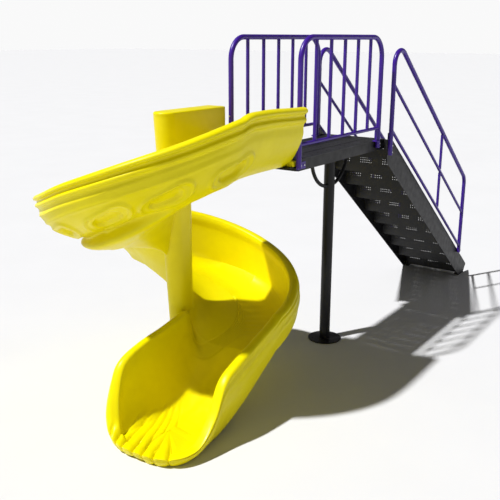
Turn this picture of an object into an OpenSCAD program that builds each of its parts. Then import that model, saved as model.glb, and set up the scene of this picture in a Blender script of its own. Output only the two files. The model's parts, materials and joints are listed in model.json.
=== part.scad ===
// Spiral pool slide: a moulded flume that winds clockwise down around a round column,
// a steel deck on one centre post with tubular guards, and a steel stair with handrails.
// Origin: centre of the post's base plate, on the ground. +X runs towards the stair,
// +Z is up. The flume leaves the deck on its -X side.

/* [Deck] */
// Height of the deck's walking surface
deck_h = 2190; // [1800:10:2400]
// Length of the deck along X
deck_len = 1765; // [1600:5:1900]
// Width of the deck frame, outside to outside
deck_w = 688; // [640:4:760]
// Depth of the edge channels
beam_h = 100; // [80:5:120]
// Wall thickness of the channels
beam_t = 6; // [4:1:8]
// Number of planks across the deck
plank_n = 4; // [3:1:5]

/* [Post] */
// Outside diameter of the centre post
post_d = 114.3; // [88.9:0.1:141.3]
// Diameter of the round base plate
base_d = 360; // [300:10:420]
// Thickness of the base plate
base_t = 12; // [10:1:20]
// Diameter of the anchor hole circle
anchor_pcd = 280; // [220:10:320]
// Diameter of each anchor hole
anchor_hole_d = 18; // [14:1:22]
// Radius of the curved braces
brace_r = 352; // [300:2:420]

/* [Guards] */
// Height of the guard's top above the deck
guard_h = 1070; // [900:10:1100]
// Outside diameter of hoops and of the handrail loops
hoop_d = 48.3; // [42.4:0.1:60.3]
// Outside diameter of balusters and lower rails
bar_d = 33.4; // [26.7:0.1:42.2]
// Distance between the two posts of a guard
guard_len = 1590; // [1400:5:1650]
// Number of balusters in a guard
baluster_n = 5; // [4:1:7]

/* [Stair] */
// Slope of the stair in degrees
stair_a = 36.84; // [34:0.01:40]
// Number of treads
tread_n = 9; // [8:1:10]
// Outside width over the two stringers
stair_w = 840; // [760:10:900]
// Depth of the stringer plate across the slope
stringer_d = 250; // [200:10:280]

/* [Flume] */
// Distance from the flume's spine to the outside of its rim
flume_r = 980; // [940:5:1000]
// Distance of the spine from the deck's centre line
spine_y = 512; // [500:2:530]
// Radius of the centre column
column_r = 105; // [95:1:115]
// Height of the divider and of the rim where the flume leaves the deck
rim_h = 2660; // [2600:10:2700]

/* [Hidden] */
$fn = 48;

steel = [0.03, 0.03, 0.035];
violet = [0.22, 0.08, 0.6];
yellow = [1, 0.9, 0];
zinc = [0.7, 0.7, 0.72];

// Deck
deck_x0 = -1205;                        // flume end of the deck
deck_x1 = deck_x0 + deck_len;           // stair end of the deck
plank_t = 5;                            // plank sheet thickness
plank_drop = 30;                        // depth of a plank's folded edges
beam_top = deck_h - plank_t;            // top of the steel frame
beam_z = beam_top - beam_h;             // underside of the frame
flange = 45;                            // width of the channel flanges
brace_x = -30;                          // centre of a brace's arc
cross_x = [brace_x - brace_r, 0, brace_r - brace_x];   // cross members

// Guards: both stand outside the deck's side beams
guard_x0 = deck_x0 - 35;
guard_x1 = guard_x0 + guard_len;
guard_y = (deck_w + hoop_d) / 2;
guard_top = deck_h + guard_h - hoop_d / 2;
hoop_bend = 200;                        // bend radius of the hoops
bottom_rail_z = deck_h + 138;

// Stair
tan_a = tan(stair_a);
rise = deck_h / (tread_n + 1);
run = rise / tan_a;
rail_x = 506;                           // first handrail upright
end_x = 2949;                           // last handrail post
stringer_t = 8;
stringer_y = stair_w / 2;
stringer_lift = 64;                     // stringer's top edge above the deck at rail_x
rail_y = stringer_y + hoop_d / 2;
rail_lift = [1060, 583, 110];           // rails above the deck at rail_x: top, middle, lower
baluster_x = 2010;

// Flume: straight and curved zones follow a spine between two centres
turn_a = [-2190, spine_y];              // outer wall's centre at the upper turn
turn_b = [-1640, spine_y];              // outer wall's centre at the lower turn
core_a = [-1930, spine_y];              // inner edge's centre at the upper turn
core_b = [-1840, spine_y];              // inner edge's centre at the lower turn
core_r = 90;
column_c = [-1830, spine_y];
column_foot = [-1820, spine_y];
divider_x = -1990;                      // round end of the divider above the column
entry_x = -1270;
run_out_x = -2410;
tip_x = -3095;

// Heights along the flume. The first number is the station: 0-1 entry, 1-2 upper turn,
// 2-3 back run, 3-4 lower turn, 4-5 run-out and scoop, one unit for each metre past 4.
rim_z = [[0, rim_h], [0.7, rim_h + 15], [1, 2638], [1.25, 2448], [1.5, 2220], [1.65, 2070],
    [2, 1800], [3, 1640], [3.3, 1465], [3.65, 1165], [4, 885], [4.25, 790], [4.73, 620],
    [4.84, 535], [4.95, 330], [5.07, 200], [5.2, 120], [5.46, 95]];
keel_z = [[0, 2130], [0.8, 2125], [1.06, 2070], [1.17, 2000], [1.3, 1920], [1.45, 1800],
    [1.65, 1610], [2, 1390], [3, 1130], [3.5, 785], [3.88, 545], [4.26, 230], [4.57, 70],
    [4.8, 5], [5, 0], [5.46, 0]];
inner_z = [[0, 2330], [0.8, 2325], [1.24, 2150], [1.5, 2040], [2, 1600], [3, 1350],
    [3.5, 1020], [3.8, 850], [4, 805], [4.1, 825], [4.3, 830], [4.62, 765], [4.9, 718],
    [5.11, 648], [5.2, 570], [5.3, 380], [5.36, 220], [5.42, 120], [5.46, 95]];
// Drop of the underside from the keel to the inner edge
haunch = [[0, 15], [0.5, 50], [0.8, 100], [1.1, 200], [1.3, 230], [1.5, 230], [2, 230],
    [3, 300], [3.5, 230], [4, 60], [4.2, 0], [5.46, 0]];
// How far the outer wall leans in, at its foot and at its ridge, times the section below
foot_lean = [[0, 1], [1.1, 1.05], [1.25, 1.5], [1.4, 1.8], [1.6, 1.9], [1.8, 1.7],
    [2.2, 1.1], [3, 1], [3.4, 0.1], [4, 0.7], [4.8, 0.62], [5.46, 0.55]];
ridge_lean = [[0, 1], [2, 1], [3, 1], [3.3, -0.2], [3.9, -0.4], [4.3, 0.3], [5.46, 0.5]];
// 0 where the bed runs up to the column in a hollow, 1 where a wall of its own stands
free_wall = [[0, 0], [4, 0], [4.2, 1], [5.46, 1]];
// The run-out's inner wall stands a little further out than the column's side
wall_shift = [[0, 0], [3.7, 0], [4.3, 14], [5.46, 30]];
bed_t = 52;                             // bed above the keel

function slope_at(t, i) = i == 0 || i == len(t) - 1 ? 0 :
    (t[i + 1][1] - t[i - 1][1]) / (t[i + 1][0] - t[i - 1][0]);
function span_of(t, q, i = 0) = i >= len(t) - 2 || q < t[i + 1][0] ? i : span_of(t, q, i + 1);
// Smooth curve through a table's points
function curve(t, q) = let (i = span_of(t, q), d = t[i + 1][0] - t[i][0],
        u = min(1, max(0, (q - t[i][0]) / d)))
    (1 + 2 * u) * pow(1 - u, 2) * t[i][1] + u * pow(1 - u, 2) * d * slope_at(t, i)
    + u * u * (3 - 2 * u) * t[i + 1][1] - u * u * (1 - u) * d * slope_at(t, i + 1);

function on_circle(c, r, a) = c + r * [cos(a), sin(a)];
// Outside of the rim, and inner edge, at station q
function outer_at(q) =
    q <= 1 ? [entry_x + (turn_a[0] - entry_x) * q, spine_y - flume_r] :
    q <= 2 ? on_circle(turn_a, flume_r, -90 - 180 * (q - 1)) :
    q <= 3 ? [turn_a[0] + (turn_b[0] - turn_a[0]) * (q - 2), spine_y + flume_r] :
    q <= 4 ? on_circle(turn_b, flume_r, 90 - 180 * (q - 3)) :
    [turn_b[0] - 1000 * (q - 4), spine_y - flume_r];
function inner_at(q) =
    q <= 1 ? [entry_x + (core_a[0] - entry_x) * q, spine_y - core_r] :
    q <= 2 ? on_circle(core_a, core_r, -90 - 180 * (q - 1)) :
    q <= 3 ? [core_a[0] + (core_b[0] - core_a[0]) * (q - 2), spine_y + core_r] :
    q <= 4 ? on_circle(core_b, core_r, 90 - 180 * (q - 3)) :
    [q > 4.4 ? outer_at(q)[0] : mix(core_b[0], outer_at(4.4)[0], (q - 4) / 0.4),
        spine_y - core_r + curve(wall_shift, q)];

// One section in five runs: [distance from the outer or inner edge, height fraction]
outer_skin = [[225, 0], [180, 0.07], [90, 0.32], [42, 0.56], [32, 0.74], [14, 0.77], [12, 0.81],
    [28, 0.85], [26, 0.885], [2, 0.92], [0, 0.95], [10, 0.98], [35, 1], [62, 1], [84, 0.98],
    [92, 0.93]];
outer_wall = [[96, 0.7], [118, 0.42], [160, 0.2], [225, 0.06], [300, 0]];
inner_wall = [[260, 0], [185, 0.07], [125, 0.25], [98, 0.5], [90, 0.9], [80, 0.97], [50, 1],
    [15, 0.98], [0, 0.9]];
inner_hollow = [[300, 0], [200, 0.05], [125, 0.16], [70, 0.36], [42, 0.55], [28, 0.72],
    [20, 0.85], [10, 0.97], [0, 1]];
inner_skin = [[0, 1], [60, 0.75], [160, 0.5], [310, 0.2]];
foot_in = 58;                           // chamfer at the foot of a free-standing inner wall
knee_z = 72;
ridge_g = 0.74;                         // height fraction of the ridge's underside

function mix(a, b, m) = a * (1 - m) + b * m;
function lean(g, foot, ridge) = g > 0.9 ? 1 : g > ridge_g ? ridge : mix(foot, ridge, g / ridge_g);

function section_at(q, p_in, p_out) =
    let (r = curve(rim_z, q), k = max(0, curve(keel_z, q)), b = k + min(bed_t, 0.55 * (r - k)),
        t = max(curve(inner_z, q), b + 20), h = curve(haunch, q), m = curve(free_wall, q),
        foot = curve(foot_lean, q), ridge = curve(ridge_lean, q),
        w = norm(p_out - p_in), e = (p_in - p_out) / w, s = min(1, w / 700))
    concat(
        [for (p = outer_skin)
            place(p_out + e * p[0] * s * lean(p[1], foot, ridge), mix(k, r, p[1]))],
        [for (p = outer_wall) place(p_out + e * p[0] * s * mix(foot, 1, p[1]), mix(b, r, p[1]))],
        [for (i = [0:len(inner_wall) - 1]) let (p = mix(inner_hollow[i], inner_wall[i], m))
            place(p_in - e * p[0] * s, mix(b, t, p[1]))],
        [place(p_in - e * 6 * m * s, k + knee_z * m)],
        [for (p = inner_skin) place(p_in - e * (p[0] + foot_in * m) * s, k - h * p[1])]);
function place(p, z) = [p[0], p[1], z];

// End face of a section in triangles: a fan over the rim, rungs from the skin across to the
// inside of the wall and bed, and a fan over the inner edge
end_face = concat(
    [for (i = [9:15]) [8, i, i + 1]],
    [for (i = [3:7]) [16, i, i + 1]],
    [for (i = [0:3]) each [[(37 - i) % 35, 3 - i, 17 + i], [3 - i, 16 + i, 17 + i]]],
    [for (i = [0:3]) [34 - i, i == 0 ? 20 : 35 - i, 21 + i]],
    [for (i = [0:2]) [34 - i, 21 + i, 22 + i]],
    [for (i = [24:28]) [30, i, i + 1]],
    [[24, 30, 31]]);

// Solid through a list of closed sections
module loft(rings) {
    n = len(rings[0]);
    m = len(rings);
    polyhedron(
        points = [for (r = rings) each r],
        faces = concat(
            end_face,
            [for (j = [0:m - 2], i = [0:n - 1]) let (a = j * n + i, b = j * n + (i + 1) % n)
                each [[a, a + n, b], [b, a + n, b + n]]],
            [for (f = end_face) [for (i = [2:-1:0]) (m - 1) * n + f[i]]]),
        convexity = 8);
}

module flume_zone(q0, q1, steps) {
    color(yellow) loft([for (i = [0:steps]) let (q = q0 + (q1 - q0) * i / steps)
        section_at(q, inner_at(q), outer_at(q))]);
}

module flume_entry() { flume_zone(0, 1, 8); }
module flume_upper_turn() { flume_zone(1, 2, 24); }
module flume_back_run() { flume_zone(2, 3, 4); }
module flume_lower_turn() { flume_zone(3, 4, 24); }
module flume_run_out() { flume_zone(4, 4.77, 9); }

// Round-ended scoop: the half width shrinks to the tip along a squared-off ellipse
scoop_mid = -28;
scoop_half = 440;
scoop_len = 440;
function scoop_w(x) = let (u = max(0, (x - tip_x) / scoop_len))
    u >= 1 ? scoop_half : scoop_half * pow(max(0, 1 - pow(1 - u, 2.6)), 1 / 2.6);
module exit_scoop() {
    xs = [for (i = [0:11]) let (u = i / 11) run_out_x + (tip_x + 1.5 - run_out_x) * sin(90 * u)];
    color(yellow) loft([for (x = xs) let (q = 4 + (turn_b[0] - x) / 1000, w = scoop_w(x))
        section_at(q, [x, min(spine_y - core_r, scoop_mid + w * 1.023) + curve(wall_shift, q)],
            [x, max(spine_y - flume_r, scoop_mid - w)])]);
}

// Column: a round shaft that leans out and widens into the divider above the bed
divider_z = 2100;
divider_h = rim_h - 35 - divider_z;
module flume_column() {
    color(yellow) {
        hull() {
            translate(column_foot) cylinder(r = column_r - 13, h = 20);
            translate([column_c[0], column_c[1], divider_z + divider_h - 20])
                cylinder(r = column_r, h = 20);
            translate([divider_x, column_c[1], divider_z + divider_h - 20])
                cylinder(r = column_r, h = 20);
        }
        translate([column_c[0], column_c[1] - column_r, divider_z])
            cube([entry_x - column_c[0], 2 * column_r, divider_h]);
    }
}

// Where the flume meets the deck: a lip that carries the bed on, and an angle below it
lip_w = deck_w - 30;
lip_z = keel_z[0][1];
angle_t = 8;
module flume_entry_lip() {
    color(yellow) translate([entry_x, -lip_w / 2, lip_z])
        cube([deck_x0 - entry_x, lip_w, bed_t]);
}
module flume_entry_flange() {
    color(steel) {
        translate([deck_x0 - angle_t, -lip_w / 2, beam_z])
            cube([angle_t, lip_w, lip_z - beam_z]);
        translate([entry_x - 60, -lip_w / 2, lip_z - angle_t])
            cube([deck_x0 - entry_x + 60 - angle_t / 2, lip_w, angle_t]);
    }
}
module flume_bolts() {
    color(zinc) {
        for (y = [-240, 0, 240])
            translate([entry_x + 20, y, lip_z - angle_t - 9]) cylinder(d = 17, h = 9, $fn = 6);
        for (s = [-1, 1]) translate([guard_x0 - hoop_d / 2, s * guard_y, rim_h - 125])
            rotate([0, -90, 0]) cylinder(d = 16, h = entry_gap);
    }
}
entry_gap = guard_x0 - hoop_d / 2 - entry_x;

// Centre post
module base_plate() {
    color(steel) difference() {
        cylinder(d = base_d, h = base_t);
        for (a = [45:90:315])
            rotate(a) translate([anchor_pcd / 2, 0, -1]) cylinder(d = anchor_hole_d, h = base_t + 2);
    }
}
module centre_post() {
    color(steel) translate([0, 0, base_t]) difference() {
        cylinder(d = post_d, h = beam_z - head_t - base_t);
        translate([0, 0, -1]) cylinder(d = post_d - 12, h = beam_z - head_t - base_t + 2);
    }
}
head_t = 10;
module post_head_plate() {
    color(steel) translate([-120, -120, beam_z - head_t]) cube([240, 240, head_t]);
}

// Quarter ring from the post up to a cross member
brace_d = 38;
module brace_flume_side() {
    color(steel) difference() {
        translate([brace_x, 0, beam_z]) rotate([90, 0, 0]) rotate([0, 0, 180])
            rotate_extrude(angle = 90) translate([brace_r, 0]) circle(d = brace_d);
        translate([0, 0, base_t]) cylinder(d = post_d, h = beam_z - base_t);
    }
}
module brace_stair_side() { mirror([1, 0, 0]) brace_flume_side(); }

// Channel of length l along X: web outside at y = 0, flanges towards +Y
module channel(l, h) {
    difference() {
        cube([l, flange, h]);
        translate([-1, beam_t, beam_t]) cube([l + 2, flange, h - 2 * beam_t]);
    }
}
module deck_beam_near() {
    color(steel) translate([deck_x0 + beam_t, -deck_w / 2, beam_z])
        channel(deck_len - 2 * beam_t, beam_h);
}
module deck_beam_far() { mirror([0, 1, 0]) deck_beam_near(); }
module end_beam() {
    translate([0, -deck_w / 2, beam_z]) cube([beam_t, deck_w, beam_h]);
    translate([0, -deck_w / 2 + flange + 2, beam_z])
        cube([flange, deck_w - 2 * flange - 4, beam_t]);
}
module deck_beam_flume_end() { color(steel) translate([deck_x0, 0, 0]) end_beam(); }
module deck_beam_stair_end() {
    color(steel) translate([deck_x1, 0, 0]) mirror([1, 0, 0]) end_beam();
}
module deck_cross_members() {
    color(steel) for (x = cross_x)
        translate([x - 30, -deck_w / 2 + flange + 2, beam_z])
            cube([60, deck_w - 2 * flange - 4, beam_h - plank_drop - 2]);
}

// Lengthwise planks of folded, perforated sheet
plank_gap = 10;
plank_w = (deck_w + plank_gap) / plank_n - plank_gap;
module plank(i) {
    y0 = -deck_w / 2 + i * (plank_w + plank_gap);
    edge = i == 0 || i == plank_n - 1 ? flange + 2 : 0;
    color(steel) difference() {
        union() {
            translate([deck_x0, y0, beam_top]) cube([deck_len, plank_w, plank_t]);
            for (y = [y0 + (i == 0 ? edge : 0), y0 + plank_w - 3 - (i == plank_n - 1 ? edge : 0)])
                translate([deck_x0 + 60, y, beam_top - plank_drop + 2])
                    cube([deck_len - 120, 3, plank_drop]);
        }
        for (x = [deck_x0 + 120:180:deck_x1 - 100], y = [-45, 0, 45])
            translate([x, y0 + plank_w / 2 + y, beam_top - 1])
                cylinder(d = 14, h = plank_t + 2, $fn = 24);
    }
}
module deck_plank_1() { plank(0); }
module deck_plank_2() { plank(1); }
module deck_plank_3() { plank(2); }
module deck_plank_4() { plank(3); }

// Tube between two points
module tube(a, b, d) {
    v = b - a;
    l = norm(v);
    translate(a) rotate([0, acos(v[2] / l), atan2(v[1], v[0])]) cylinder(d = d, h = l);
}
// Bend in a vertical XZ plane: centre c, radius r, from angle a0 over sweep angles
module bend(c, r, d, a0, sweep) {
    translate([c[0], 0, c[1]]) rotate([90, 0, 0]) rotate([0, 0, a0])
        rotate_extrude(angle = sweep) translate([r, 0]) circle(d = d);
}

// Guard: hoop, balusters, bottom rail and collars, drawn at y = 0
foot_z = deck_h - 70;
module hoop() {
    tube([guard_x0, 0, foot_z], [guard_x0, 0, guard_top - hoop_bend], hoop_d);
    bend([guard_x0 + hoop_bend, guard_top - hoop_bend], hoop_bend, hoop_d, 90, 90);
    tube([guard_x0 + hoop_bend, 0, guard_top], [guard_x1 - hoop_bend, 0, guard_top], hoop_d);
    bend([guard_x1 - hoop_bend, guard_top - hoop_bend], hoop_bend, hoop_d, 0, 90);
    tube([guard_x1, 0, foot_z], [guard_x1, 0, guard_top - hoop_bend], hoop_d);
}
module balusters() {
    top = guard_top - hoop_d / 2 + 2;
    for (i = [1:baluster_n]) let (x = guard_x0 + guard_len * i / (baluster_n + 1))
        tube([x, 0, bottom_rail_z + bar_d / 2], [x, 0, top], bar_d);
}
module bottom_rail() {
    tube([guard_x0 + hoop_d / 2, 0, bottom_rail_z], [guard_x1 - hoop_d / 2, 0, bottom_rail_z], bar_d);
}
// At the flume end a tab reaches back from the post onto the beam; at the stair end a stub
// leg stands on a round collar at the deck's edge
tab_l = 145;
tab_z = deck_h - 88;
stub_x = guard_x1 - 42;
collar_d = 75;
module feet() {
    difference() {
        translate([guard_x0, hoop_d / 2 - 8, tab_z]) cube([tab_l, 8, 62]);
        translate([guard_x0, 0, tab_z - 1]) cylinder(d = hoop_d, h = 100);
    }
    translate([stub_x, 0, deck_h]) cylinder(d = collar_d, h = 10);
    translate([stub_x, 0, deck_h + 10])
        cylinder(d = bar_d - 6, h = bottom_rail_z - bar_d / 2 - deck_h - 6);
}
module guard_near_hoop() { color(violet) translate([0, -guard_y, 0]) hoop(); }
module guard_near_balusters() { color(violet) translate([0, -guard_y, 0]) balusters(); }
module guard_near_bottom_rail() { color(violet) translate([0, -guard_y, 0]) bottom_rail(); }
module guard_near_feet() {
    color(violet) translate([0, -guard_y, 0]) difference() {
        feet();
        bottom_rail();
        hoop();
    }
}
module guard_far_hoop() { mirror([0, 1, 0]) guard_near_hoop(); }
module guard_far_balusters() { mirror([0, 1, 0]) guard_near_balusters(); }
module guard_far_bottom_rail() { mirror([0, 1, 0]) guard_near_bottom_rail(); }
module guard_far_feet() { mirror([0, 1, 0]) guard_near_feet(); }
module guard_bolts() {
    color(zinc) for (s = [-1, 1]) {
        for (x = [guard_x0 + 60, guard_x0 + tab_l - 25])
            translate([x, s * (guard_y - hoop_d / 2 + 8), tab_z + 31]) rotate([90 * s, 0, 180])
                cylinder(d = 17, h = 7, $fn = 6);
        for (z = [25, 55]) translate([guard_x1, s * (guard_y + hoop_d / 2), foot_z + z - 10])
            rotate([90 * s, 0, 180]) cylinder(d = 13, h = 6, $fn = 6);
    }
}

// Stair stringers: a plate cut level at the ground and square at its tip
stringer_x0 = 495;
stringer_v = stringer_d / cos(stair_a); // depth measured straight down
tip_z = 109;
function stringer_z(x) = deck_h + stringer_lift - (x - rail_x) * tan_a;
function stringer_at(z) = rail_x + (deck_h + stringer_lift - z) / tan_a;
module stringer_outline() {
    polygon([[stringer_x0, stringer_z(stringer_x0)], [stringer_at(tip_z), tip_z],
        [stringer_at(tip_z) - tip_z * tan_a, 0], [stringer_at(stringer_v), 0],
        [stringer_x0, stringer_z(stringer_x0) - stringer_v]]);
}
module stringer_near() {
    color(steel) translate([0, -stringer_y + stringer_t, 0]) rotate([90, 0, 0])
        linear_extrude(stringer_t) stringer_outline();
}
module stringer_far() { mirror([0, 1, 0]) stringer_near(); }

// Tread with the perforated riser below its nose, numbered from the ground up; the top
// riser closes the stair below the deck
sheet_t = 5;
step_gap = 1;
step_w = stair_w - 2 * stringer_t;
function nose_x(i) = deck_x1 + (tread_n + 1 - i) * run;
// Three patches of holes across the width, in a grid of nx by ny about the origin
module hole_patches(nx, ny, pitch) {
    for (p = [-1:1], j = [0:ny - 1], i = [0:nx - 1])
        translate([(i - (nx - 1) / 2) * pitch, p * step_w / 3 + (j - (ny - 1) / 2) * pitch, 0])
            cylinder(d = 9, h = 3 * sheet_t, center = true, $fn = 16);
}
module riser(i) {
    top = rise * i - sheet_t - step_gap;
    bottom = i == 1 ? 12 : rise * (i - 1);
    difference() {
        translate([nose_x(i) - sheet_t, -step_w / 2, bottom])
            cube([sheet_t, step_w, top - bottom]);
        translate([nose_x(i) - sheet_t / 2, 0, top - 75]) rotate([0, 90, 0])
            hole_patches(3, 6, 26);
    }
}
module tread(i) {
    color(steel) {
        riser(i);
        difference() {
            translate([nose_x(i + 1), -step_w / 2, rise * i - sheet_t])
                cube([run, step_w, sheet_t]);
            translate([nose_x(i + 1) + run / 2, 0, rise * i - sheet_t / 2])
                hole_patches(5, 6, 26);
        }
    }
}
module top_riser() { color(steel) riser(tread_n + 1); }
module tread_1() { tread(1); }
module tread_2() { tread(2); }
module tread_3() { tread(3); }
module tread_4() { tread(4); }
module tread_5() { tread(5); }
module tread_6() { tread(6); }
module tread_7() { tread(7); }
module tread_8() { tread(8); }
module tread_9() { tread(9); }

// Angle feet inside the stringers, each with two anchor slots
foot_x = 3120;
foot_w = 150;
module stair_foot_plates() {
    color(steel) for (s = [-1, 1]) difference() {
        translate([foot_x, s > 0 ? stringer_y - stringer_t - 70 : -stringer_y + stringer_t, 0])
            union() {
                cube([foot_w, 70, 8]);
                translate([0, s > 0 ? 62 : 0, 8]) cube([foot_w - 20, 8, 60]);
            }
        for (x = [30, foot_w - 30])
            translate([foot_x + x, s * (stringer_y - stringer_t - 36), -1]) cylinder(d = 14, h = 10);
    }
}

// Handrail: top loop, middle rail, lower bar and one baluster, drawn at y = 0
loop_bend = 145;
end_bend = 150;
weld = 3;                               // how far a straight run enters its elbow
function rail_z(i, x) = deck_h + rail_lift[i] - (x - rail_x) * tan_a;
module handrail_loop() {
    t0 = loop_bend * tan((90 + stair_a) / 2);
    t1 = end_bend * tan((90 - stair_a) / 2);
    z0 = rail_z(0, rail_x);
    z1 = rail_z(0, end_x);
    tube([rail_x, 0, deck_h - 162], [rail_x, 0, z0 - t0 + weld], hoop_d);
    bend([rail_x + loop_bend, z0 - t0], loop_bend, hoop_d + 1, 90 - stair_a, 90 + stair_a);
    tube([rail_x + (t0 - weld) * cos(stair_a), 0, z0 - (t0 - weld) * sin(stair_a)],
        [end_x - (t1 - weld) * cos(stair_a), 0, z1 + (t1 - weld) * sin(stair_a)], hoop_d);
    bend([end_x - end_bend, z1 - t1], end_bend, hoop_d + 1, 0, 90 - stair_a);
    tube([end_x, 0, z1 - t1 + weld], [end_x, 0, rail_z(2, end_x) - 90], hoop_d);
}
module sloping_bar(i) {
    tube([rail_x + hoop_d / 2, 0, rail_z(i, rail_x + hoop_d / 2)],
        [end_x - hoop_d / 2, 0, rail_z(i, end_x - hoop_d / 2)], bar_d);
}
module rail_baluster() {
    half = (hoop_d / 2) / cos(stair_a);
    tube([baluster_x, 0, rail_z(2, baluster_x) + bar_d / 2 / cos(stair_a) + 1],
        [baluster_x, 0, rail_z(1, baluster_x) - bar_d / 2 / cos(stair_a) - 1], bar_d);
    tube([baluster_x, 0, rail_z(1, baluster_x) + bar_d / 2 / cos(stair_a) + 1],
        [baluster_x, 0, rail_z(0, baluster_x) - half - 1], bar_d);
}
module handrail_near_loop() { color(violet) translate([0, -rail_y, 0]) handrail_loop(); }
module handrail_near_mid_rail() { color(violet) translate([0, -rail_y, 0]) sloping_bar(1); }
module handrail_near_lower_bar() { color(violet) translate([0, -rail_y, 0]) sloping_bar(2); }
module handrail_near_baluster() { color(violet) translate([0, -rail_y, 0]) rail_baluster(); }
module handrail_far_loop() { mirror([0, 1, 0]) handrail_near_loop(); }
module handrail_far_mid_rail() { mirror([0, 1, 0]) handrail_near_mid_rail(); }
module handrail_far_lower_bar() { mirror([0, 1, 0]) handrail_near_lower_bar(); }
module handrail_far_baluster() { mirror([0, 1, 0]) handrail_near_baluster(); }
module handrail_bolts() {
    color(zinc) for (s = [-1, 1], p = [[rail_x, deck_h - 130], [rail_x, deck_h - 60],
            [end_x, rail_z(2, end_x) - 60]])
        translate([p[0], s * (rail_y + hoop_d / 2), p[1]]) rotate([90 * s, 0, 180])
            cylinder(d = 15, h = 6, $fn = 6);
}

base_plate();
centre_post();
post_head_plate();
brace_flume_side();
brace_stair_side();
deck_beam_near();
deck_beam_far();
deck_beam_flume_end();
deck_beam_stair_end();
deck_cross_members();
deck_plank_1();
deck_plank_2();
deck_plank_3();
deck_plank_4();
guard_near_hoop();
guard_near_balusters();
guard_near_bottom_rail();
guard_near_feet();
guard_far_hoop();
guard_far_balusters();
guard_far_bottom_rail();
guard_far_feet();
guard_bolts();
stringer_near();
stringer_far();
tread_1();
tread_2();
tread_3();
tread_4();
tread_5();
tread_6();
tread_7();
tread_8();
tread_9();
top_riser();
stair_foot_plates();
handrail_near_loop();
handrail_near_mid_rail();
handrail_near_lower_bar();
handrail_near_baluster();
handrail_far_loop();
handrail_far_mid_rail();
handrail_far_lower_bar();
handrail_far_baluster();
handrail_bolts();
flume_entry();
flume_upper_turn();
flume_back_run();
flume_lower_turn();
flume_run_out();
exit_scoop();
flume_column();
flume_entry_lip();
flume_entry_flange();
flume_bolts();
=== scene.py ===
import json
import math

import bmesh
import bpy
import numpy as np
from mathutils import Matrix, Vector


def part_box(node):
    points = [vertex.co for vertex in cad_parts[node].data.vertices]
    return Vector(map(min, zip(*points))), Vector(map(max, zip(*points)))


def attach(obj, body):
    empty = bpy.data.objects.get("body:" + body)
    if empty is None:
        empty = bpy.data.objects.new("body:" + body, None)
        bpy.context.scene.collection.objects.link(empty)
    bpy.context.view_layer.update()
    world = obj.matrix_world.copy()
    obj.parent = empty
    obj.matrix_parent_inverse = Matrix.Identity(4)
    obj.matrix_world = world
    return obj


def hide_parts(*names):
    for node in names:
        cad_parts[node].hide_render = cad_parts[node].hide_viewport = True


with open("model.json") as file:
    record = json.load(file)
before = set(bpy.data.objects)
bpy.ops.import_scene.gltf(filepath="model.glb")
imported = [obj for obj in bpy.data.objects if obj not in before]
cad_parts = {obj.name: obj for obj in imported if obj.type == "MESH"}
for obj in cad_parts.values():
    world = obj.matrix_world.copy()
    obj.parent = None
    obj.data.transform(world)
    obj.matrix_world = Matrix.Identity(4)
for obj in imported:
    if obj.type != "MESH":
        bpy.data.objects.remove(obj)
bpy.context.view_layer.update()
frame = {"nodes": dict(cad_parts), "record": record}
nodes = frame["nodes"]
MM = 0.001


# ---------------------------------------------------------------- node helpers
def new_material(name):
    mat = bpy.data.materials.new(name)
    mat.use_nodes = True
    tree = mat.node_tree
    return mat, tree, tree.nodes["Principled BSDF"]


def add(tree, kind, inputs=None, **props):
    """A shader node with its properties and inputs; an input may be another node's socket."""
    node = tree.nodes.new(kind)
    for key, value in props.items():
        setattr(node, key, value)
    for key, value in (inputs or {}).items():
        if isinstance(value, bpy.types.NodeSocket):
            tree.links.new(value, node.inputs[key])
        else:
            node.inputs[key].default_value = value
    return node


def place_coords(tree):
    return add(tree, "ShaderNodeTexCoord").outputs["Object"]


def noise(tree, coords, scale, detail=3.0, rough=0.55):
    return add(tree, "ShaderNodeTexNoise", {
        "Vector": coords, "Scale": scale, "Detail": detail, "Roughness": rough}).outputs["Fac"]


def ramp(tree, fac, low, high, out_low, out_high):
    return add(tree, "ShaderNodeMapRange", {
        "Value": fac, "From Min": low, "From Max": high,
        "To Min": out_low, "To Max": out_high}).outputs["Result"]


def mix_colour(tree, fac, a, b):
    node = add(tree, "ShaderNodeMix", data_type="RGBA")
    for index, value in ((0, fac), (6, a), (7, b)):
        if isinstance(value, bpy.types.NodeSocket):
            tree.links.new(value, node.inputs[index])
        else:
            node.inputs[index].default_value = value
    return node.outputs[2]


def bump_chain(tree, bsdf, layers):
    """Stacks bump maps: each layer is (height socket, distance in metres, strength)."""
    normal = None
    for height, distance, strength in layers:
        inputs = {"Height": height, "Distance": distance, "Strength": strength}
        if normal is not None:
            inputs["Normal"] = normal
        normal = add(tree, "ShaderNodeBump", inputs).outputs["Normal"]
    tree.links.new(normal, bsdf.inputs["Normal"])


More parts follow.
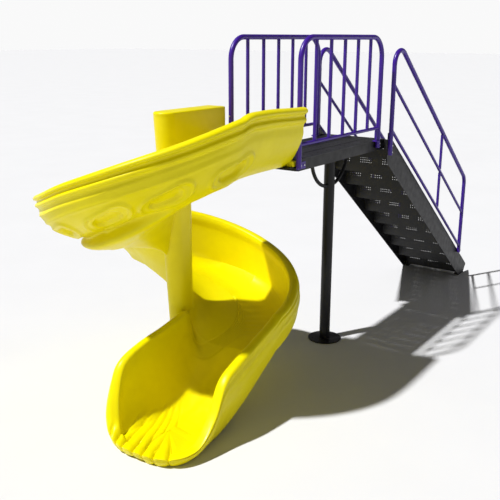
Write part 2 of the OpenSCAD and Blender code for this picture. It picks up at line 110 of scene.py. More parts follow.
# ---------------------------------------------------------------- materials
def moulded_plastic():
    """Rotationally moulded polyethylene: glossy, faintly uneven, with fine orange peel."""
    mat, tree, bsdf = new_material("yellow_plastic")
    co = place_coords(tree)
    broad = noise(tree, co, 3.0, 2.0)
    cloud = noise(tree, co, 18.0, 4.0)
    peel = noise(tree, co, 260.0, 2.0)
    waves = noise(tree, co, 9.0, 1.0)
    colour = mix_colour(tree, ramp(tree, broad, 0.3, 0.7, 0.0, 1.0),
                        (0.8, 0.69, 0.0, 1), (0.86, 0.75, 0.0, 1))
    colour = mix_colour(tree, ramp(tree, cloud, 0.35, 0.8, 0.0, 0.25), colour,
                        (0.74, 0.62, 0.0, 1))
    tree.links.new(colour, bsdf.inputs["Base Color"])
    tree.links.new(ramp(tree, cloud, 0.3, 0.7, 0.3, 0.42), bsdf.inputs["Roughness"])
    bsdf.inputs["IOR"].default_value = 1.5
    bsdf.inputs["Specular IOR Level"].default_value = 0.22
    bump_chain(tree, bsdf, [(waves, 0.004, 0.12), (peel, 0.0006, 0.2)])
    return mat


def powder_coat(name, dark, light, rough_low, rough_high, gloss, fleck=0.0):
    """Powder coat: a fine pebbled skin, cloudy gloss and light dust on upward faces."""
    mat, tree, bsdf = new_material(name)
    co = place_coords(tree)
    cloud = noise(tree, co, 14.0, 5.0)
    pebble = noise(tree, co, 420.0, 2.0)
    dust = noise(tree, co, 60.0, 6.0, 0.7)
    up = add(tree, "ShaderNodeSeparateXYZ", {
        "Vector": add(tree, "ShaderNodeNewGeometry").outputs["Normal"]}).outputs["Z"]
    settled = add(tree, "ShaderNodeMath", {
        0: ramp(tree, up, 0.5, 1.0, 0.0, 1.0), 1: ramp(tree, dust, 0.45, 0.75, 0.0, fleck)},
        operation="MULTIPLY").outputs[0]
    colour = mix_colour(tree, ramp(tree, cloud, 0.3, 0.7, 0.0, 1.0), dark, light)
    colour = mix_colour(tree, settled, colour, (0.35, 0.34, 0.32, 1))
    tree.links.new(colour, bsdf.inputs["Base Color"])
    tree.links.new(ramp(tree, cloud, 0.3, 0.7, rough_low, rough_high), bsdf.inputs["Roughness"])
    bsdf.inputs["Specular IOR Level"].default_value = gloss
    bump_chain(tree, bsdf, [(cloud, 0.0015, 0.06), (pebble, 0.0003, 0.12)])
    return mat


def tread_coat():
    """Black coat on the walking sheets, with raised grip dots and scuffed wear."""
    mat, tree, bsdf = new_material("grip_steel")
    co = place_coords(tree)
    dots = add(tree, "ShaderNodeTexVoronoi", {"Vector": co, "Scale": 70.0, "Randomness": 0.15},
               feature="F1").outputs["Distance"]
    scuff = noise(tree, co, 7.0, 8.0, 0.7)
    grain = noise(tree, co, 300.0, 2.0)
    colour = mix_colour(tree, ramp(tree, scuff, 0.5, 0.75, 0.0, 0.7),
                        (0.006, 0.006, 0.007, 1), (0.022, 0.022, 0.023, 1))
    tree.links.new(colour, bsdf.inputs["Base Color"])
    tree.links.new(ramp(tree, scuff, 0.3, 0.7, 0.42, 0.6), bsdf.inputs["Roughness"])
    bump_chain(tree, bsdf, [(ramp(tree, dots, 0.12, 0.3, 1.0, 0.0), 0.0012, 0.5),
                            (grain, 0.0004, 0.3)])
    return mat


def zinc_plate():
    mat, tree, bsdf = new_material("zinc_fixings")
    co = place_coords(tree)
    spangle = add(tree, "ShaderNodeTexVoronoi", {"Vector": co, "Scale": 380.0},
                  feature="F1").outputs["Color"]
    fleck = add(tree, "ShaderNodeSeparateColor", {"Color": spangle}).outputs[0]
    scratch = noise(tree, co, 500.0, 3.0)
    colour = mix_colour(tree, fleck, (0.50, 0.51, 0.52, 1), (0.72, 0.72, 0.73, 1))
    tree.links.new(colour, bsdf.inputs["Base Color"])
    bsdf.inputs["Metallic"].default_value = 1.0
    tree.links.new(ramp(tree, fleck, 0.0, 1.0, 0.28, 0.45), bsdf.inputs["Roughness"])
    bump_chain(tree, bsdf, [(scratch, 0.0003, 0.25)])
    return mat


def pale_floor():
    mat, tree, bsdf = new_material("pale_floor")
    co = place_coords(tree)
    tone = noise(tree, co, 0.8, 3.0)
    grain = noise(tree, co, 90.0, 2.0)
    colour = mix_colour(tree, tone, (0.68, 0.68, 0.69, 1), (0.72, 0.72, 0.73, 1))
    tree.links.new(colour, bsdf.inputs["Base Color"])
    bsdf.inputs["Roughness"].default_value = 0.9
    bump_chain(tree, bsdf, [(grain, 0.001, 0.05)])
    return mat


YELLOW = moulded_plastic()
VIOLET = powder_coat("violet_steel", (0.036, 0.006, 0.22, 1), (0.048, 0.009, 0.28, 1),
                     0.28, 0.4, 0.4)
BLACK = powder_coat("black_steel", (0.004, 0.004, 0.005, 1), (0.008, 0.008, 0.009, 1),
                    0.4, 0.55, 0.3, 0.04)
GRIP = tread_coat()
ZINC = zinc_plate()
FLOOR = pale_floor()


# ---------------------------------------------------------------- mesh helpers
def mesh_piece(name, verts, faces, material, smooth_angle=40):
    mesh = bpy.data.meshes.new(name)
    mesh.from_pydata([tuple(v) for v in verts], [], faces)
    return finish_piece(name, mesh, material, smooth_angle)


def bmesh_piece(name, bm, material, smooth_angle=40):
    mesh = bpy.data.meshes.new(name)
    bm.to_mesh(mesh)
    bm.free()
    return finish_piece(name, mesh, material, smooth_angle)


def finish_piece(name, mesh, material, smooth_angle):
    mesh.validate()
    piece = bpy.data.objects.new(name, mesh)
    bpy.context.scene.collection.objects.link(piece)
    mesh.materials.append(material)
    shade(mesh, smooth_angle)
    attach(piece, "root")
    return piece


def shade(mesh, angle):
    """Smooth shading, with edges sharper than angle kept crisp."""
    bm = bmesh.new()
    bm.from_mesh(mesh)
    limit = math.radians(angle)
    for face in bm.faces:
        face.smooth = True
    for edge in bm.edges:
        edge.smooth = len(edge.link_faces) == 2 and edge.calc_face_angle(0) < limit
    bm.to_mesh(mesh)
    bm.free()


# ---------------------------------------------------------------- the flume's shape
# In millimetres. The spine and the inner edge are the CAD's and the rim stays within 35 mm
# of it. The underside doesn't: near the column it is up to 254 mm higher on the back run
# and up to 84 mm lower on the upper turn. A station q runs 0-1 along the entry, 1-2 the
# upper turn, 2-3 the back run, 3-4 the lower turn, then 1 for each metre.
SPINE_Y = 512
FLUME_R = 980
CORE_R = 90
ENTRY_X = -1270
RIM_H = 2660
TURN_A = (-2190, SPINE_Y)
TURN_B = (-1640, SPINE_Y)
CORE_A = (-1930, SPINE_Y)
CORE_B = (-1840, SPINE_Y)
TIP_X = -3095
SCOOP_MID = -28
SCOOP_HALF = 440
SCOOP_LEN = 440
BED_T = 52
FULL_SPAN = 700                         # a flume narrower than this has a smaller section
TIP_POWER = 2.6                         # how square the scoop's round tip is

# Heights along the flume: [station, height]
RIM_Z = [[0, 2660], [0.7, 2675], [1, 2638], [1.25, 2448], [1.5, 2195], [1.65, 2035], [2, 1800],
         [3, 1640], [3.3, 1465], [3.65, 1165], [4, 885], [4.25, 790], [4.73, 620], [4.84, 535],
         [4.95, 330], [5.07, 200], [5.2, 120], [5.46, 95]]
KEEL_Z = [[0, 2130], [0.8, 2125], [1.06, 2070], [1.17, 2000], [1.3, 1920], [1.45, 1790],
          [1.65, 1610], [1.8, 1560], [2, 1500], [2.5, 1330], [3, 1130], [3.5, 785],
          [3.88, 545], [4.26, 230], [4.57, 70], [4.8, 5], [5, 0], [5.46, 0]]
INNER_Z = [[0, 2330], [0.8, 2325], [1.24, 2150], [1.5, 2040], [2, 1600], [3, 1350], [3.5, 1020],
           [3.8, 850], [4, 805], [4.1, 825], [4.3, 830], [4.62, 765], [4.9, 718], [5.11, 648],
           [5.2, 570], [5.3, 380], [5.36, 220], [5.42, 120], [5.46, 95]]
# Drop of the underside from the keel to the inner edge
HAUNCH = [[0, 15], [0.5, 30], [0.8, 60], [1.1, 120], [1.25, 220], [1.4, 300], [1.55, 280],
          [1.7, 150], [2, 90], [3, 150], [3.5, 150], [4, 60], [4.2, 0], [5.46, 0]]
# Share of that drop already reached at the middle of the underside
BULGE = [[0, 0.17], [0.9, 0.2], [1.15, 0.4], [1.35, 0.6], [1.55, 0.6], [1.8, 0.3], [2.2, 0.17],
         [5.46, 0.17]]
# Extra hollow that sweeps from the underside down into the column
FILLET = [[0, 40], [0.6, 60], [1, 60], [1.3, 50], [2, 50], [3, 50], [3.6, 40], [4, 0],
          [5.46, 0]]
# How far the outer wall leans in, at its foot and at its ridge, times the section below
FOOT_LEAN = [[0, 1], [1.1, 1.05], [1.25, 1.5], [1.4, 1.8], [1.6, 1.9], [1.8, 1.7],
             [2.2, 1.1], [3, 1], [3.4, 0.1], [4, 0.7], [4.8, 0.62], [5.15, 0.5], [5.3, 0.3],
             [5.46, 0.22]]
RIDGE_LEAN = [[0, 1], [2, 1], [3, 1], [3.3, -0.2], [3.9, -0.4], [4.3, 0.3], [5.46, 0.5]]
# 0 where the bed runs up to the column in a hollow, 1 where a wall of its own stands
FREE_WALL = [[0, 0], [4, 0], [4.2, 1], [5.46, 1]]
WALL_SHIFT = [[0, 0], [3.7, 0], [4.3, 14], [5.46, 30]]
RIDGE_G = 0.74                          # height fraction of the outer wall's ridge
FOOT_IN, KNEE_Z = 58, 72                # chamfer at the foot of the free-standing inner wall

# Control points: [distance from the edge, height fraction], and how finely each run is cut
OUTER_SKIN = [[225, 0], [180, 0.07], [90, 0.32], [42, 0.56], [32, 0.74], [14, 0.77], [12, 0.81],
              [28, 0.85], [26, 0.885], [2, 0.92], [0, 0.95], [10, 0.98], [35, 1], [62, 1],
              [84, 0.98], [92, 0.93]]
OUTER_WALL = [[96, 0.7], [118, 0.42], [160, 0.2], [225, 0.06], [300, 0]]
INNER_WALL = [[330, 0], [235, 0.08], [160, 0.25], [112, 0.5], [92, 0.88], [80, 0.97], [50, 1],
              [15, 0.98], [0, 0.9]]
INNER_HOLLOW = [[300, 0], [200, 0.05], [125, 0.16], [70, 0.36], [42, 0.55], [28, 0.72],
                [20, 0.85], [10, 0.97], [0, 1]]
INNER_SKIN = [[0, 1], [35, 0.9], [80, 0.8], [140, 0.66], [220, 0.49], [310, 0.3], [400, 0.13]]


def curve(table, q):
    """Smooth curve through a table's points."""
    last = len(table) - 2
    i = next((k for k in range(last) if q < table[k + 1][0]), last)

    def slope(k):
        if k == 0 or k == len(table) - 1:
            return 0.0
        return (table[k + 1][1] - table[k - 1][1]) / (table[k + 1][0] - table[k - 1][0])
    d = table[i + 1][0] - table[i][0]
    u = min(1.0, max(0.0, (q - table[i][0]) / d))
    return ((1 + 2 * u) * (1 - u) ** 2 * table[i][1] + u * (1 - u) ** 2 * d * slope(i)
            + u * u * (3 - 2 * u) * table[i + 1][1] - u * u * (1 - u) * d * slope(i + 1))


def mix(a, b, m):
    return a * (1 - m) + b * m


def on_circle(c, r, degrees):
    return np.array([c[0] + r * math.cos(math.radians(degrees)),
                     c[1] + r * math.sin(math.radians(degrees))])


def outer_at(q):
    if q <= 1:
        return np.array([mix(ENTRY_X, TURN_A[0], q), SPINE_Y - FLUME_R])
    if q <= 2:
        return on_circle(TURN_A, FLUME_R, -90 - 180 * (q - 1))
    if q <= 3:
        return np.array([mix(TURN_A[0], TURN_B[0], q - 2), SPINE_Y + FLUME_R])
    if q <= 4:
        return on_circle(TURN_B, FLUME_R, 90 - 180 * (q - 3))
    x = TURN_B[0] - 1000 * (q - 4)
    return np.array([x, max(SPINE_Y - FLUME_R, SCOOP_MID - scoop_width(x))])


def inner_at(q):
    if q <= 1:
        return np.array([mix(ENTRY_X, CORE_A[0], q), SPINE_Y - CORE_R])
    if q <= 2:
        return on_circle(CORE_A, CORE_R, -90 - 180 * (q - 1))
    if q <= 3:
        return np.array([mix(CORE_A[0], CORE_B[0], q - 2), SPINE_Y + CORE_R])
    if q <= 4:
        return on_circle(CORE_B, CORE_R, 90 - 180 * (q - 3))
    x = TURN_B[0] - 1000 * (q - 4)
    if q <= 4.4:
        x = mix(CORE_B[0], outer_at(4.4)[0], (q - 4) / 0.4)
    side = min(SPINE_Y - CORE_R, SCOOP_MID + scoop_width(x) * 1.023)
    return np.array([x, side + curve(WALL_SHIFT, q)])


def scoop_width(x):
    u = max(0.0, (x - TIP_X) / SCOOP_LEN)
    if u >= 1:
        return SCOOP_HALF
    return SCOOP_HALF * max(0.0, 1 - (1 - u) ** TIP_POWER) ** (1 / TIP_POWER)


def levels(q):
    rim = curve(RIM_Z, q)
    keel = max(0.0, curve(KEEL_Z, q))
    bed = keel + min(BED_T, 0.55 * (rim - keel))
    return rim, keel, bed, max(curve(INNER_Z, q), bed + 20)


def outer_half(q, edge, inward, scale, mid):
    """Control points from the middle of the underside, over the outer rim, to mid-bed."""
    rim, keel, bed, _ = levels(q)
    foot, ridge = curve(FOOT_LEAN, q), curve(RIDGE_LEAN, q)
    drop = curve(HAUNCH, q) * curve(BULGE, q)
    points = [(mid, keel - drop),
              (mix(mid, edge + inward * 225 * scale, 0.55), keel - drop * 0.6)]
    for a, g in OUTER_SKIN:
        lean = 1 if g > 0.9 else ridge if g > RIDGE_G else mix(foot, ridge, g / RIDGE_G)
        points.append((edge + inward * a * scale * lean, mix(keel, rim, g)))
    for a, g in OUTER_WALL:
        points.append((edge + inward * a * scale * mix(foot, 1, g), mix(bed, rim, g)))
    points.append((mid, bed))
    return points


def inner_half(q, edge, inward, scale, mid):
    """Control points from the middle of the underside, up the inner side, to mid-bed."""
    _, keel, bed, top = levels(q)
    drop, fillet, free = curve(HAUNCH, q), curve(FILLET, q), curve(FREE_WALL, q)
    bulge = curve(BULGE, q)
    points = [(mid, keel - drop * bulge)]
    for a, g in reversed(INNER_SKIN):
        sweep = fillet * max(0.0, 1 - a / 220) ** 3
        z = keel - drop * mix(bulge, 1, g) - sweep
        points.append((edge + inward * (a + FOOT_IN * free) * scale, z))
    points.append((edge + inward * 6 * free * scale, keel + KNEE_Z * free))
    for (a1, g1), (a0, g0) in zip(reversed(INNER_WALL), reversed(INNER_HOLLOW)):
        a, g = mix(a0, a1, free), mix(g0, g1, free)
        points.append((edge + inward * a * scale, mix(bed, top, g)))
    points.append((mid, bed))
    return points


def through(points, params):
    """Chord-length Hermite through control points, sampled at fixed control numbers."""
    gaps = np.maximum(np.linalg.norm(np.diff(points, axis=0), axis=1), 1e-3)[:, None]
    slopes = np.diff(points, axis=0) / gaps
    tangents = np.zeros_like(points)
    tangents[1:-1] = (gaps[1:] * slopes[:-1] + gaps[:-1] * slopes[1:]) / (gaps[1:] + gaps[:-1])
    tangents[0], tangents[-1] = slopes[0], slopes[-1]
    i = np.minimum(params.astype(int), len(points) - 2)
    u = (params - i)[:, None]
    d = gaps[i]
    return ((1 + 2 * u) * (1 - u) ** 2 * points[i] + u * (1 - u) ** 2 * d * tangents[i]
            + u * u * (3 - 2 * u) * points[i + 1] - u * u * (1 - u) * d * tangents[i + 1])


def sample_params(points, weights, count):
    """Control numbers spread along a section, closer together where weights are high."""
    gaps = np.linalg.norm(np.diff(points, axis=0), axis=1) * weights
    total = np.concatenate([[0], np.cumsum(gaps)])
    return np.interp(np.linspace(0, total[-1], count), total, np.arange(len(points)))


# Points in half a section, and how much closer they lie along the rims and the bed
HALF_N = 200
RIM_FINE, INNER_FINE, BED_FINE = 3.0, 1.6, 2.2


def lift(points):
    return np.array([[p[0], p[1], z] for p, z in points])


def halves(q):
    p_in, p_out = inner_at(q), outer_at(q)
    span = np.linalg.norm(p_out - p_in)
    inward = (p_in - p_out) / span
    scale = min(1.0, span / FULL_SPAN)
    mid = (p_in + p_out) / 2
    return (lift(outer_half(q, p_out, inward, scale, mid)),
            lift(inner_half(q, p_in, -inward, scale, mid)))


outer_ref, inner_ref = halves(1.5)
outer_weight = np.ones(len(outer_ref) - 1)
outer_weight[6:18] = RIM_FINE
outer_weight[-2:] = BED_FINE
inner_weight = np.ones(len(inner_ref) - 1)
inner_weight[9:17] = INNER_FINE
inner_weight[-1:] = BED_FINE
OUTER_P = sample_params(outer_ref, outer_weight, HALF_N)
INNER_P = sample_params(inner_ref, inner_weight, HALF_N)

# Stations: straight and turning zones cut about every 13 mm, up to where the scoop's round
# tip takes over as a fan about SCOOP_C
TIP_Q = 5.01
SCOOP_C = np.array([TURN_B[0] - 1000 * (TIP_Q - 4), SCOOP_MID])
STATIONS = np.concatenate([np.linspace(0, 1, 72), np.linspace(1, 2, 236)[1:],
                           np.linspace(2, 3, 44)[1:], np.linspace(3, 4, 236)[1:],
                           np.linspace(4, TIP_Q, 84)[1:]])
FAN_N = 320


def tip_rays():
    """The scoop's outline from SCOOP_C: edge points, stations, and blend to the inner side."""
    points = []
    for u in np.linspace(0, 1, 900):
        x = mix(SCOOP_C[0], TIP_X + 0.5, math.sin(math.pi / 2 * u))
        q = 4 + (TURN_B[0] - x) / 1000
        points.append((outer_at(q), q, 0.0))
    for u in np.linspace(1, 0, 900):
        x = mix(SCOOP_C[0], TIP_X + 0.5, math.sin(math.pi / 2 * u))
        q = 4 + (TURN_B[0] - x) / 1000
        points.append((inner_at(q), q, 1.0))
    edge = np.array([p[0] for p in points])
    run = np.concatenate([[0], np.cumsum(np.linalg.norm(np.diff(edge, axis=0), axis=1))])
    want = np.linspace(0, run[-1], FAN_N)
    x = np.interp(want, run, edge[:, 0])
    y = np.interp(want, run, edge[:, 1])
    q = np.interp(want, run, [p[1] for p in points])
    side = np.clip((want / run[-1] - 0.42) / 0.2, 0, 1)
    return np.stack([x, y], 1), q, side * side * (3 - 2 * side)


def fan_section(edge, q, side):
    """Half a section from SCOOP_C out to the edge, in between the outer and inner form."""
    inward = SCOOP_C - edge
    reach = np.linalg.norm(inward)
    inward = inward / reach
    scale = min(1.0, 2 * reach / FULL_SPAN)
    outer = through(lift(outer_half(q, edge, inward, scale, SCOOP_C)), OUTER_P)
    inner = through(lift(inner_half(q, edge, inward, scale, SCOOP_C)), INNER_P)
    return mix(outer, inner, side)


main = np.array([np.concatenate([through(a, OUTER_P), through(b, INNER_P)[::-1]])
                 for a, b in (halves(q) for q in STATIONS)])
edges, fan_q, fan_side = tip_rays()
fan = np.array([fan_section(e, q, s) for e, q, s in zip(edges, fan_q, fan_side)])


# ---------------------------------------------------------------- relief on the moulding
def ring_normals(grid, closed):
    """Outward unit normals of a grid of points: stations along axis 0, the section along 1."""
    along = np.gradient(grid, axis=0)
    if closed:
        across = np.roll(grid, -1, 1) - np.roll(grid, 1, 1)
    else:
        across = np.gradient(grid, axis=1)
    normal = np.cross(across, along)
    normal /= np.maximum(np.linalg.norm(normal, axis=2, keepdims=True), 1e-9)
    if not closed:
        normal[:, 0], normal[:, -1] = (0, 0, -1), (0, 0, 1)
    return normal


def bell(x, width):
    return np.exp(-(x / width) ** 2)


def step(x, low, high):
    u = np.clip((x - low) / (high - low), 0, 1)
    return u * u * (3 - 2 * u)


def skin_arc(grid):
    """Distance up the outer skin from its foot; negative on the underside."""
    gaps = np.linalg.norm(np.diff(grid[:, :HALF_N], axis=1), axis=2)
    run = np.concatenate([np.zeros((len(grid), 1)), np.cumsum(gaps, 1)], 1)
    foot = np.array([np.interp(2.0, OUTER_P, row) for row in run])
    return run - foot[:, None]


# Raised lines below the rim: [depth, height, half width, first and last station]
LINES = [[170, 9, 11, 0.75, 2.6], [242, 9, 11, 0.85, 2.6]]
# Embossed ovals: [station, distance up the skin, half length, half height, tilt]
OVALS = [[1.238, 175, 225, 135, 0.2], [1.43, 170, 260, 162, 0.25], [1.64, 212, 225, 130, 0.2],
         [1.02, 185, 235, 110, 0.1], [1.85, 180, 215, 125, 0.15]]
FRAME_W, FRAME_H = 16, 16
POCKET, POCKET_W, POCKET_H = 38, 0.6, 0.56


def oval_relief(along, up, half_l, half_h):
    """A raised frame with a pocket inside it, for points at (along, up) from the centre."""
    straight = half_l - half_h
    reach = np.hypot(np.maximum(np.abs(along) - straight, 0), up)
    frame_ring = FRAME_H * bell(reach - (half_h - FRAME_W), FRAME_W)
    pocket_reach = np.hypot(np.maximum(np.abs(along) - straight * POCKET_W, 0), up * 1.05)
    pocket = -POCKET * (1 - step(pocket_reach, half_h * POCKET_H - 16, half_h * POCKET_H + 14))
    return frame_ring + pocket


def skin_relief(grid, arc):
    """Displacement of the outer skin: the raised lines and the embossed ovals."""
    rim = np.array([curve(RIM_Z, q) for q in STATIONS])[:, None]
    depth = rim - grid[:, :HALF_N, 2]
    q = STATIONS[:, None]
    on_skin = (OUTER_P > 1.2) & (OUTER_P < 7)
    relief = np.zeros(depth.shape)
    for d, high, width, q0, q1 in LINES:
        fade = step(q, q0, q0 + 0.35) * (1 - step(q, q1 - 0.3, q1))
        relief += high * bell(depth - d, width) * fade * on_skin
    outer = np.array([outer_at(s) for s in STATIONS])
    travel = np.concatenate([[0], np.cumsum(np.linalg.norm(np.diff(outer, axis=0), axis=1))])
    for oq, up, half_l, half_h, tilt in OVALS:
        here = np.interp(oq, STATIONS, travel)
        along = (travel[:, None] - here) * 0.86
        rise = arc - up + along * tilt
        relief += oval_relief(along, rise, half_l, half_h) * ((OUTER_P < 7) & (OUTER_P > 0.2))
    return relief


# Grooves along the bed of the lower turn, then a fan of grooves across the scoop's lip
GROOVE_N, GROOVE_DEEP, GROOVE_WIDE = 9, 8, 6
GROOVE_FIRST = [[3.1, 300], [3.4, 300], [3.8, 420], [4, 560], [4.12, 645], [4.3, 760]]
GROOVE_PITCH = [[3.1, 26], [3.5, 26], [4, 20], [4.3, 14]]
FAN_C = np.array([-1900, 410])
FAN_ANGLES = [181.0, 186.0, 189.8, 193.5, 198.8, 203.1, 207.5, 213.0]
RIB_HALF = 44
LIP_Z = 93
RIBS_X = -2250                          # the ribs lie beyond this, towards the tip


def bed_relief(grid):
    """Fine grooves on the bed, measured from the outer edge across the flume."""
    outer = np.array([outer_at(s) for s in STATIONS])
    gap = np.linalg.norm(grid[:, :, :2] - outer[:, None], axis=2)
    q = STATIONS[:, None]
    fade = step(q, 3.15, 3.35) * (1 - step(q, 4.18, 4.3))
    first = np.array([curve(GROOVE_FIRST, s) for s in STATIONS])[:, None]
    pitch = np.array([curve(GROOVE_PITCH, s) for s in STATIONS])[:, None]
    index = (gap - first) / pitch
    near = np.abs(index - np.round(index)) * pitch
    inside = (index > -0.5) & (index < GROOVE_N - 0.5)
    bed = np.zeros(grid.shape[1], bool)
    bed[:HALF_N] = OUTER_P > 20
    bed[HALF_N:] = INNER_P[::-1] > 9.5
    return -GROOVE_DEEP * bell(near, GROOVE_WIDE) * fade * inside * bed


def raise_bed(grid, normals):
    """The ribbed part of the bed rises to the lip, so that the ribs end in rounded noses."""
    away = grid[..., :2] - FAN_C
    reach = np.linalg.norm(away, axis=-1)
    angle = np.degrees(np.arctan2(away[..., 1], away[..., 0])) % 360
    ribbed = step(angle, 168, 182) * (1 - step(angle, 210, 220)) * step(normals[..., 2], 0.1, 0.4)
    lifted = np.clip(LIP_Z - grid[..., 2], 0, 45) * ribbed * step(reach, 380, 1090)
    grid[..., 2] += lifted * (grid[..., 0] < RIBS_X)


def cut_scallops(grid):
    """The fan of grooves: fine lines on the bed that open into rounded scallops at the lip."""
    away = grid[..., :2] - FAN_C
    reach = np.linalg.norm(away, axis=-1)
    angle = np.degrees(np.arctan2(away[..., 1], away[..., 0])) % 360
    gap = np.full(reach.shape, 1e9)
    for a in FAN_ANGLES:
        gap = np.minimum(gap, np.abs(np.radians(angle - a)) * reach)
    u = np.clip(gap / (RIB_HALF * mix(0.45, 1.0, step(reach, 450, 1150))), 0, 1)
    rounded = 1 - np.sqrt(1 - (1 - u) ** 2)
    groove = mix(bell(gap, 9.0), rounded, step(reach, 700, 1100))
    groove *= (1 - step(grid[..., 2], 130, 230)) * (grid[..., 0] < RIBS_X)
    deep = mix(6.0, 12.0, step(reach, 500, 900)) + 26 * step(reach, 900, 1130)
    grid[..., 2] -= groove * deep * step(reach, 420, 560) * np.clip(grid[..., 2] / 60, 0, 1)
    grid[..., :2] -= away / reach[..., None] * (groove * 30 * step(reach, 1040, 1170))[..., None]


raise_bed(main, ring_normals(main, True))
raise_bed(fan, ring_normals(fan, False))
normals = ring_normals(main, True)
relief = np.zeros(main.shape[:2])
relief[:, :HALF_N] += skin_relief(main, skin_arc(main))
relief += bed_relief(main)
main = main + normals * relief[..., None]
for grid in (main, fan):
    cut_scallops(grid)
    grid[..., 2] = np.maximum(grid[..., 2], 0)


# ---------------------------------------------------------------- the flume's mesh
def flume_mesh():
    """Main sweep, with the scoop's fan joined on along its two half sections."""
    n, ring = main.shape[:2]
    faces = [(j * ring + i, j * ring + (i + 1) % ring, (j + 1) * ring + (i + 1) % ring,
              (j + 1) * ring + i) for j in range(n - 1) for i in range(ring)]
    verts = list(main.reshape(-1, 3) * MM)
    # The start of the sweep is closed by a fan of quads across the section
    faces += [(i, ring - 1 - i, ring - 2 - i, i + 1) for i in range(HALF_N - 1)]
    base = len(verts)
    last = (n - 1) * ring
    rows = len(fan)
    index = np.zeros((rows, HALF_N), int)
    index[0] = last + np.arange(HALF_N)
    index[-1] = last + ring - 1 - np.arange(HALF_N)
    count = base
    for r in range(1, rows - 1):
        index[r, 0], index[r, -1] = index[0, 0], index[0, -1]
        index[r, 1:-1] = count + np.arange(HALF_N - 2)
        verts += list(fan[r, 1:-1] * MM)
        count += HALF_N - 2
    for r in range(rows - 1):
        for i in range(HALF_N - 1):
            quad = (index[r, i], index[r, i + 1], index[r + 1, i + 1], index[r + 1, i])
            faces.append(tuple(int(v) for v in dict.fromkeys(quad)))
    return verts, faces


verts, faces = flume_mesh()
flume = mesh_piece("flume", verts, faces, YELLOW, 60)
bm = bmesh.new()
bm.from_mesh(flume.data)
bmesh.ops.remove_doubles(bm, verts=bm.verts, dist=0.0002)
bmesh.ops.recalc_face_normals(bm, faces=bm.faces)
bm.to_mesh(flume.data)
bm.free()
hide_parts("flume_entry", "flume_upper_turn", "flume_back_run", "flume_lower_turn",
            "flume_run_out", "exit_scoop")


# ---------------------------------------------------------------- column and divider
def stadium(x0, x1, y, r, z, n=40):
    """Outline of a round-ended bar from x0 to x1 at height z."""
    left = [(x0 + r * math.cos(a), y + r * math.sin(a), z)
            for a in np.linspace(math.pi / 2, 3 * math.pi / 2, n)]
    right = [(x1 + r * math.cos(a), y + r * math.sin(a), z)
             for a in np.linspace(-math.pi / 2, math.pi / 2, n)]
    return left + right


COLUMN_FOOT_X, COLUMN_TOP_X, DIVIDER_X = -1820, -1830, -1990
COLUMN_R0, COLUMN_R1 = 92, 105
DIVIDER_TOP = RIM_H - 35
EDGE_R = 18


def ring_stack(rings):
    """Quads between equal rings, with the first and last ring closed."""
    n = len(rings[0])
    verts = [Vector(p) * MM for ring in rings for p in ring]
    faces = [(j * n + i, j * n + (i + 1) % n, (j + 1) * n + (i + 1) % n, (j + 1) * n + i)
             for j in range(len(rings) - 1) for i in range(n)]
    faces.append(tuple(range(n - 1, -1, -1)))
    faces.append(tuple((len(rings) - 1) * n + i for i in range(n)))
    return verts, faces


def column_rings():
    rings = []
    for z in np.linspace(0, DIVIDER_TOP - EDGE_R, 60):
        u = z / DIVIDER_TOP
        rings.append(stadium(mix(COLUMN_FOOT_X, DIVIDER_X, u), mix(COLUMN_FOOT_X, COLUMN_TOP_X, u),
                             SPINE_Y, mix(COLUMN_R0, COLUMN_R1, u), z))
    for a in np.linspace(0, 90, 12)[1:]:
        inset = EDGE_R * (1 - math.cos(math.radians(a)))
        z = DIVIDER_TOP - EDGE_R * (1 - math.sin(math.radians(a)))
        rings.append(stadium(DIVIDER_X, COLUMN_TOP_X, SPINE_Y, COLUMN_R1 - inset, z))
    return rings


verts, faces = ring_stack(column_rings())
column = mesh_piece("column", verts, faces, YELLOW, 50)
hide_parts("flume_column")


def rounded_box(name, low, high, radius, material, segments=6):
    bm = bmesh.new()
    bmesh.ops.create_cube(bm, size=1)
    low, high = Vector(low), Vector(high)
    for v in bm.verts:
        v.co = Vector([(low[k] + high[k]) / 2 + v.co[k] * (high[k] - low[k]) for k in range(3)])
    bmesh.ops.bevel(bm, geom=list(bm.edges), offset=radius, segments=segments, profile=0.5,
                    affect="EDGES")
    return bmesh_piece(name, bm, material, 50)


_, col_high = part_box("flume_column")
divider = rounded_box("divider", ((COLUMN_TOP_X - 60) * MM, (SPINE_Y - COLUMN_R1) * MM, 2.1),
                      (col_high.x, (SPINE_Y + COLUMN_R1) * MM, DIVIDER_TOP * MM), 0.017,
                      YELLOW)

# The lip that carries the bed on to the deck
low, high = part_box("flume_entry_lip")
lip = rounded_box("entry_lip", low, high, 0.008, YELLOW, 4)
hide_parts("flume_entry_lip")


# ---------------------------------------------------------------- steelwork from the CAD
def paint(name, material):
    obj = nodes[name]
    obj.data.materials.clear()
    obj.data.materials.append(material)


SLOT_MATERIAL = {"violet_steel": VIOLET, "black_steel": BLACK, "zinc_fixings": ZINC,
                 "yellow_plastic": YELLOW}
WALKED_ON = ("tread_", "top_riser", "deck_plank_")
for part in frame["record"]["subparts"]:
    name = part["node"]
    paint(name, GRIP if name.startswith(WALKED_ON) else SLOT_MATERIAL[part["material_slot"]])


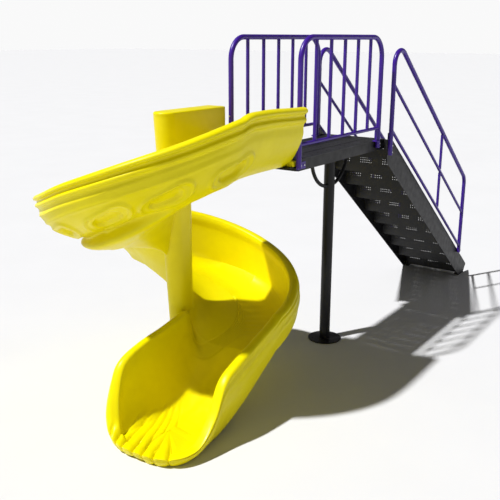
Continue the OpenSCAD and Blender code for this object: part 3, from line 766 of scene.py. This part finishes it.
# ---------------------------------------------------------------- floor, light and camera
bm = bmesh.new()
bmesh.ops.create_grid(bm, x_segments=24, y_segments=24, size=150)
floor_mesh = bpy.data.meshes.new("floor")
bm.to_mesh(floor_mesh)
bm.free()
floor = bpy.data.objects.new("floor", floor_mesh)
floor.location = (0, 0, -0.002)
floor_mesh.materials.append(FLOOR)
bpy.context.scene.collection.objects.link(floor)

world = bpy.data.worlds.new("studio")
world.use_nodes = True
bpy.context.scene.world = world
sky = world.node_tree.nodes["Background"]
height = add(world.node_tree, "ShaderNodeSeparateXYZ", {
    "Vector": add(world.node_tree, "ShaderNodeTexCoord").outputs["Generated"]}).outputs["Z"]
# White at the horizon, dimmer overhead, as in a wide pale studio
world.node_tree.links.new(ramp(world.node_tree, height, 0.05, 0.12, 0.95, 0.12),
                          sky.inputs["Strength"])
sky.inputs["Color"].default_value = (1, 1, 1, 1)
bpy.context.scene.view_settings.view_transform = "Standard"


def sun(name, source, strength, degrees):
    """A soft sun that shines from the direction source towards the object."""
    light = bpy.data.lights.new(name, "SUN")
    light.energy = strength
    light.angle = math.radians(degrees)
    lamp = bpy.data.objects.new(name, light)
    lamp.rotation_euler = Vector(source).to_track_quat("Z", "Y").to_euler()
    bpy.context.scene.collection.objects.link(lamp)


sun("key", (-0.55, 0.3, 1.0), 4.6, 2)

CAM_AZIMUTH, CAM_PITCH, CAM_ROLL = 34.83, 15.94, 0.138
CAM_AT = (-6.850, -3.750, 3.237)
CAM_LENS, CAM_SENSOR = 53.748, 36
camera_data = bpy.data.cameras.new("camera")
camera_data.sensor_width = CAM_SENSOR
camera_data.lens = CAM_LENS
camera = bpy.data.objects.new("camera", camera_data)
forward = Vector((math.cos(math.radians(CAM_AZIMUTH)) * math.cos(math.radians(CAM_PITCH)),
                  math.sin(math.radians(CAM_AZIMUTH)) * math.cos(math.radians(CAM_PITCH)),
                  -math.sin(math.radians(CAM_PITCH))))
turn = forward.to_track_quat("-Z", "Y").to_matrix().to_4x4()
camera.matrix_world = (Matrix.Translation(CAM_AT) @ turn
                       @ Matrix.Rotation(math.radians(CAM_ROLL), 4, "Z"))
bpy.context.scene.collection.objects.link(camera)
bpy.context.scene.camera = camera
